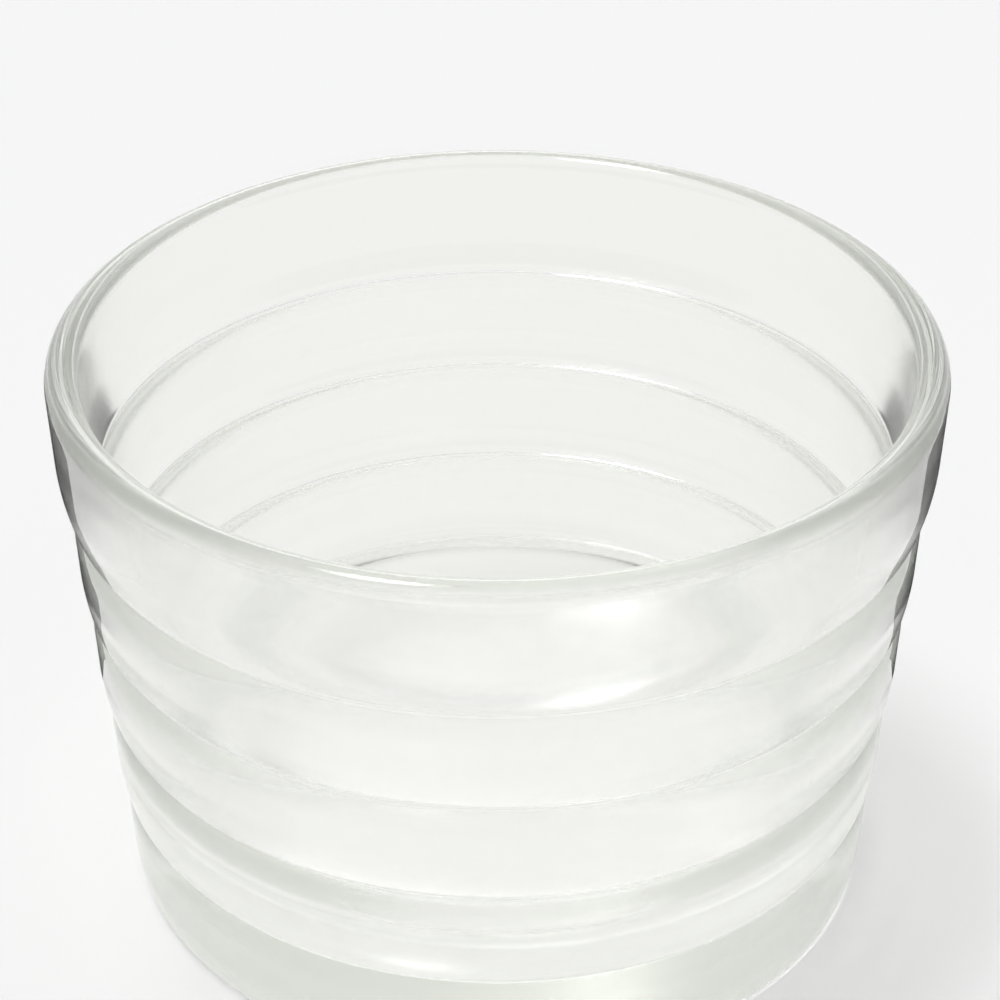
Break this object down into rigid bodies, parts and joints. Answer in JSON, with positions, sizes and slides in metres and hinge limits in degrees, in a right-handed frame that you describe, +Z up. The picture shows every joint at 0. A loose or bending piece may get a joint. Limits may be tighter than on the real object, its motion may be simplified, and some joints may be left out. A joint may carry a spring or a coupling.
{
  "type": "chai glass",
  "caption": "Squat clear pressed-glass tumbler for chai: slightly tapered, with stepped rings round the outside, a smooth inside, a rounded lip and a thick floor.",
  "frame": {"origin": "centre of the circle that the foot stands on, in the plane of the table", "axes": "+Z up along the axis of the glass. The glass is round, so +X and +Y can point any way."},
  "size_m": [0.082, 0.082, 0.0555],
  "materials": {
    "glass": "clear pressed glass with a smooth, fire-polished surface and a faint grey-green tint where it is seen edge on"
  },
  "bodies": {
    "root": {"tumbler": "glass"}
  },
  "joints": []
}
